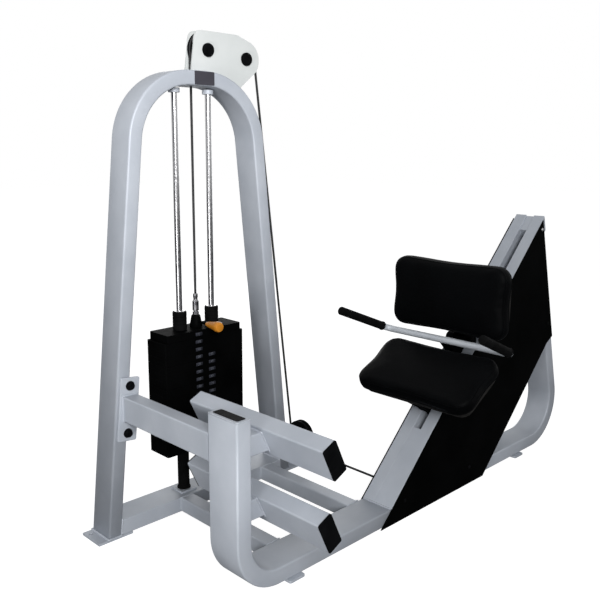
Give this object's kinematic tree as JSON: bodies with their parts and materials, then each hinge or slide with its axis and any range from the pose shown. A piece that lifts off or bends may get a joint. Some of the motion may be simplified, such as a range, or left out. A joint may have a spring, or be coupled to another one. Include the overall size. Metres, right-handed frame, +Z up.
{
  "type": "seated_calf_raise_machine",
  "caption": "Seated calf raise machine: seat carriage sliding on a sloping rail, two fixed foot bars, cable-driven weight stack in an arched tower",
  "frame": {"origin": "middle of the underside of the front floor pad, at floor level", "axes": "+X from the foot bars towards the seat, +Y from the seat towards the weight tower, +Z up"},
  "size_m": [1.8537, 0.8829, 1.558],
  "materials": {
    "frame_paint": "gloss",
    "bracket_paint": "gloss",
    "black_paint": "satin",
    "black_plastic": "matte",
    "black_rubber": "matte",
    "black_vinyl": "satin",
    "bright_chrome": "polished",
    "cable_steel": "satin",
    "knob_plastic": "gloss",
    "board_black": "matte"
  },
  "bodies": {
    "root": {"main_beam": "frame_paint", "rear_leg": "frame_paint", "post_cap": "black_plastic", "rail_near": "frame_paint", "rail_far": "frame_paint", "carriage_stop": "black_rubber", "side_cover_near": "black_paint", "side_cover_far": "black_paint", "upper_foot_bar": "frame_paint", "lower_foot_bar": "frame_paint", "upper_foot_cap_near": "black_plastic", "upper_foot_cap_far": "black_plastic", "lower_foot_cap_near": "black_plastic", "lower_foot_cap_far": "black_plastic", "tower_frame": "frame_paint", "tower_base_bar": "frame_paint", "link_beam": "frame_paint", "cross_tube_front": "frame_paint", "cross_tube_rear": "frame_paint", "weight_plates_1": "black_paint", "weight_plates_2": "black_paint", "weight_plates_3": "black_paint", "weight_plates_4": "black_paint", "weight_plates_5": "black_paint", "guide_rod_1": "bright_chrome", "guide_rod_2": "bright_chrome", "stack_pedestal_1": "black_rubber", "stack_pedestal_2": "black_rubber", "bracket_front": "bracket_paint", "bracket_back": "bracket_paint", "crown_axle_1": "black_plastic", "crown_axle_2": "black_plastic", "base_pulley_bracket": "frame_paint", "rail_pulley_bracket": "frame_paint", "cable_main_run": "cable_steel"},
    "carriage": {"carriage_frame": "frame_paint", "seat_board": "board_black", "back_board": "board_black", "seat_pad": "black_vinyl", "back_pad": "black_vinyl", "handle_bar": "bracket_paint", "hand_grip_1": "black_rubber", "hand_grip_2": "black_rubber", "cable_carriage_run": "cable_steel"},
    "lifted_stack": {"head_plate": "black_paint", "selector_stem": "black_paint", "rod_bumper_1": "black_rubber", "rod_bumper_2": "black_rubber", "cable_fitting": "bright_chrome", "cable_stack_run": "cable_steel"},
    "pin": {"selector_pin": "knob_plastic"},
    "crown_wheel_1": {"crown_pulley_1": "black_plastic"},
    "crown_wheel_2": {"crown_pulley_2": "black_plastic"},
    "base_wheel": {"base_pulley": "black_plastic"},
    "rail_wheel": {"rail_pulley": "black_plastic"},
    "rollers_front_lower": {"roller_front_lower": "black_rubber"},
    "rollers_front_upper": {"roller_front_upper": "black_rubber"},
    "rollers_rear_lower": {"roller_rear_lower": "black_rubber"},
    "rollers_rear_upper": {"roller_rear_upper": "black_rubber"}
  },
  "joints": [
    {"name": "carriage_slide", "type": "slide", "parent": "root", "child": "carriage", "axis": [0.7071, 0, 0.7071], "range_m": [0, 0.4], "deforming": ["cable_carriage_run"]},
    {"name": "stack_lift", "type": "slide", "parent": "root", "child": "lifted_stack", "axis": [0, 0, 1], "range_m": [0, 0.4], "deforming": ["cable_stack_run"]},
    {"name": "pin_pull", "type": "slide", "parent": "lifted_stack", "child": "pin", "axis": [0, -1, 0], "range_m": [0, 0.06]},
    {"name": "crown_wheel_1_turn", "type": "hinge", "parent": "root", "child": "crown_wheel_1", "pos_m": [0.167, 0.532, 1.5], "axis": [0, 1, 0], "range_deg": [0, 440]},
    {"name": "crown_wheel_2_turn", "type": "hinge", "parent": "root", "child": "crown_wheel_2", "pos_m": [0.325, 0.532, 1.485], "axis": [0, 1, 0], "range_deg": [0, 440]},
    {"name": "base_wheel_turn", "type": "hinge", "parent": "root", "child": "base_wheel", "pos_m": [0.56, 0.479, 0.127], "axis": [-1, 0, 0], "range_deg": [0, 440]},
    {"name": "rail_wheel_turn", "type": "hinge", "parent": "root", "child": "rail_wheel", "pos_m": [0.57839, 0.026, 0.09238], "axis": [-0.7071, 0, 0.7071], "range_deg": [0, 890]},
    {"name": "rollers_front_lower_turn", "type": "hinge", "parent": "carriage", "child": "rollers_front_lower", "pos_m": [0.7142, 0, 0.36791], "axis": [0, 1, 0], "range_deg": [0, 1160]},
    {"name": "rollers_front_upper_turn", "type": "hinge", "parent": "carriage", "child": "rollers_front_upper", "pos_m": [0.88391, 0, 0.53761], "axis": [0, 1, 0], "range_deg": [0, 1160]},
    {"name": "rollers_rear_lower_turn", "type": "hinge", "parent": "carriage", "child": "rollers_rear_lower", "pos_m": [0.77826, 0, 0.30384], "axis": [0, -1, 0], "range_deg": [0, 1160]},
    {"name": "rollers_rear_upper_turn", "type": "hinge", "parent": "carriage", "child": "rollers_rear_upper", "pos_m": [0.94797, 0, 0.47355], "axis": [0, -1, 0], "range_deg": [0, 1160]}
  ],
  "couplings": [
    {"joint": "stack_lift", "follows": "carriage_slide", "ratio": 1},
    {"joint": "crown_wheel_1_turn", "follows": "carriage_slide", "rad_per_m": 18.868},
    {"joint": "crown_wheel_2_turn", "follows": "carriage_slide", "rad_per_m": 18.868},
    {"joint": "base_wheel_turn", "follows": "carriage_slide", "rad_per_m": 18.868},
    {"joint": "rail_wheel_turn", "follows": "carriage_slide", "rad_per_m": 38.462},
    {"joint": "rollers_front_lower_turn", "follows": "carriage_slide", "rad_per_m": 50},
    {"joint": "rollers_front_upper_turn", "follows": "carriage_slide", "rad_per_m": 50},
    {"joint": "rollers_rear_lower_turn", "follows": "carriage_slide", "rad_per_m": 50},
    {"joint": "rollers_rear_upper_turn", "follows": "carriage_slide", "rad_per_m": 50}
  ]
}
